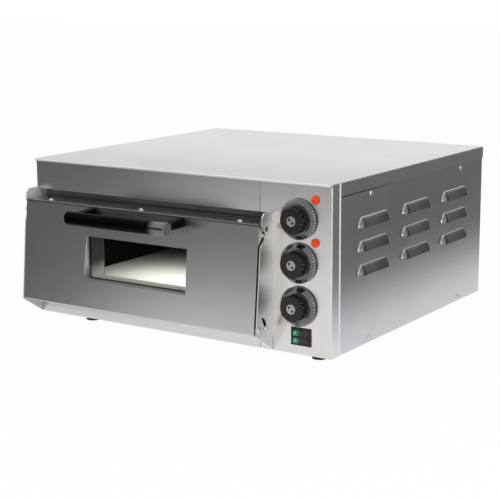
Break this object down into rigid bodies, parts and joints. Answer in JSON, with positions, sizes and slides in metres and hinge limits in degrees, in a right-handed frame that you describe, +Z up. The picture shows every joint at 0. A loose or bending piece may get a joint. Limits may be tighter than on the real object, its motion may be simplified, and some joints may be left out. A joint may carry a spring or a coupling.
{
  "type": "electric pizza oven",
  "caption": "Single-deck countertop electric pizza oven: folded steel casing, drop-down door with window and bar handle, stone-floored baking chamber, side control panel with turning knobs.",
  "frame": {"origin": "on the table, under the middle of the part's box", "axes": "+X to the right seen from the front, +Y from the front to the rear, +Z up; the door is at -Y"},
  "size_m": [0.567, 0.6225, 0.278],
  "materials": {
    "casing_steel": "polished sheet",
    "bright_steel": "bright",
    "chamber_steel": "dull sheet",
    "heater_steel": "heat-darkened",
    "mineral_wool": "fibrous",
    "baking_stone": "matt, fine pores",
    "white_ceramic": "matt",
    "lamp_glass": "clear",
    "window_glass": "clear, faint green",
    "knob_plastic": "gloss, white numerals",
    "handle_plastic": "gloss",
    "control_plastic": "moulded",
    "switch_plastic": "gloss",
    "rocker_plastic": "smoked green, lit",
    "red_lens": "clear gloss",
    "sensor_copper": "drawn tube",
    "bush_brass": "turned",
    "gasket_fibre": "braided glass fibre",
    "foot_rubber": "matt"
  },
  "bodies": {
    "oven": {"base_pan": "casing_steel", "left_side_panel": "casing_steel", "right_side_panel": "casing_steel", "top_cover": "casing_steel", "rear_panel": "casing_steel", "inner_rails": "casing_steel", "casing_screws": "bright_steel", "fascia": "casing_steel", "control_panel": "casing_steel", "partition_wall": "casing_steel", "chamber_front_frame": "chamber_steel", "chamber_liner": "chamber_steel", "chamber_insulation": "mineral_wool", "baking_stone": "baking_stone", "stone_rails": "chamber_steel", "lower_element": "heater_steel", "upper_element": "heater_steel", "element_combs": "chamber_steel", "element_bushes": "white_ceramic", "chamber_lamp_holder": "white_ceramic", "chamber_lamp_bulb": "lamp_glass", "chamber_lamp_glass": "lamp_glass", "upper_thermostat": "control_plastic", "lower_thermostat": "control_plastic", "timer": "control_plastic", "upper_sensor": "sensor_copper", "lower_sensor": "sensor_copper", "upper_indicator": "red_lens", "lower_indicator": "red_lens", "switch_frame": "switch_plastic", "left_cheek": "casing_steel", "right_cheek": "casing_steel", "hinge_pins": "bright_steel", "rubber_feet": "foot_rubber", "cable_gland": "control_plastic", "terminal_block": "white_ceramic"},
    "door": {"door_skin": "casing_steel", "door_liner": "chamber_steel", "door_screws": "bright_steel", "window_frame": "casing_steel", "outer_glass": "window_glass", "inner_glass": "window_glass", "glass_retainer": "chamber_steel", "door_insulation": "mineral_wool", "door_gasket": "gasket_fibre", "door_handle": "handle_plastic", "hinge_bushes": "bush_brass", "stop_pins": "bright_steel", "catch_pins": "bright_steel"},
    "upper_control": {"upper_knob": "knob_plastic", "upper_knob_insert": "bright_steel", "upper_spindle": "bright_steel"},
    "lower_control": {"lower_knob": "knob_plastic", "lower_knob_insert": "bright_steel", "lower_spindle": "bright_steel"},
    "timer_control": {"timer_knob": "knob_plastic", "timer_knob_insert": "bright_steel", "timer_spindle": "bright_steel"},
    "light_switch": {"light_rocker": "rocker_plastic"},
    "heat_switch": {"heat_rocker": "rocker_plastic"}
  },
  "joints": [
    {"name": "door_hinge", "type": "hinge", "parent": "oven", "child": "door", "pos_m": [-0.049, -0.25825, 0.0595], "axis": [1, 0, 0], "range_deg": [0, 60]},
    {"name": "upper_knob_turn", "type": "hinge", "parent": "oven", "child": "upper_control", "pos_m": [0.225, -0.22075, 0.2235], "axis": [0, 1, 0], "range_deg": [0, 300]},
    {"name": "lower_knob_turn", "type": "hinge", "parent": "oven", "child": "lower_control", "pos_m": [0.225, -0.22075, 0.159], "axis": [0, 1, 0], "range_deg": [0, 300]},
    {"name": "timer_knob_turn", "type": "hinge", "parent": "oven", "child": "timer_control", "pos_m": [0.225, -0.22075, 0.0945], "axis": [0, 1, 0], "range_deg": [0, 300]},
    {"name": "light_rocker_tilt", "type": "hinge", "parent": "oven", "child": "light_switch", "pos_m": [0.229, -0.21725, 0.0546], "axis": [0, 0, 1], "range_deg": [-16, 0]},
    {"name": "heat_rocker_tilt", "type": "hinge", "parent": "oven", "child": "heat_switch", "pos_m": [0.229, -0.21725, 0.0434], "axis": [0, 0, 1], "range_deg": [-16, 0]}
  ]
}
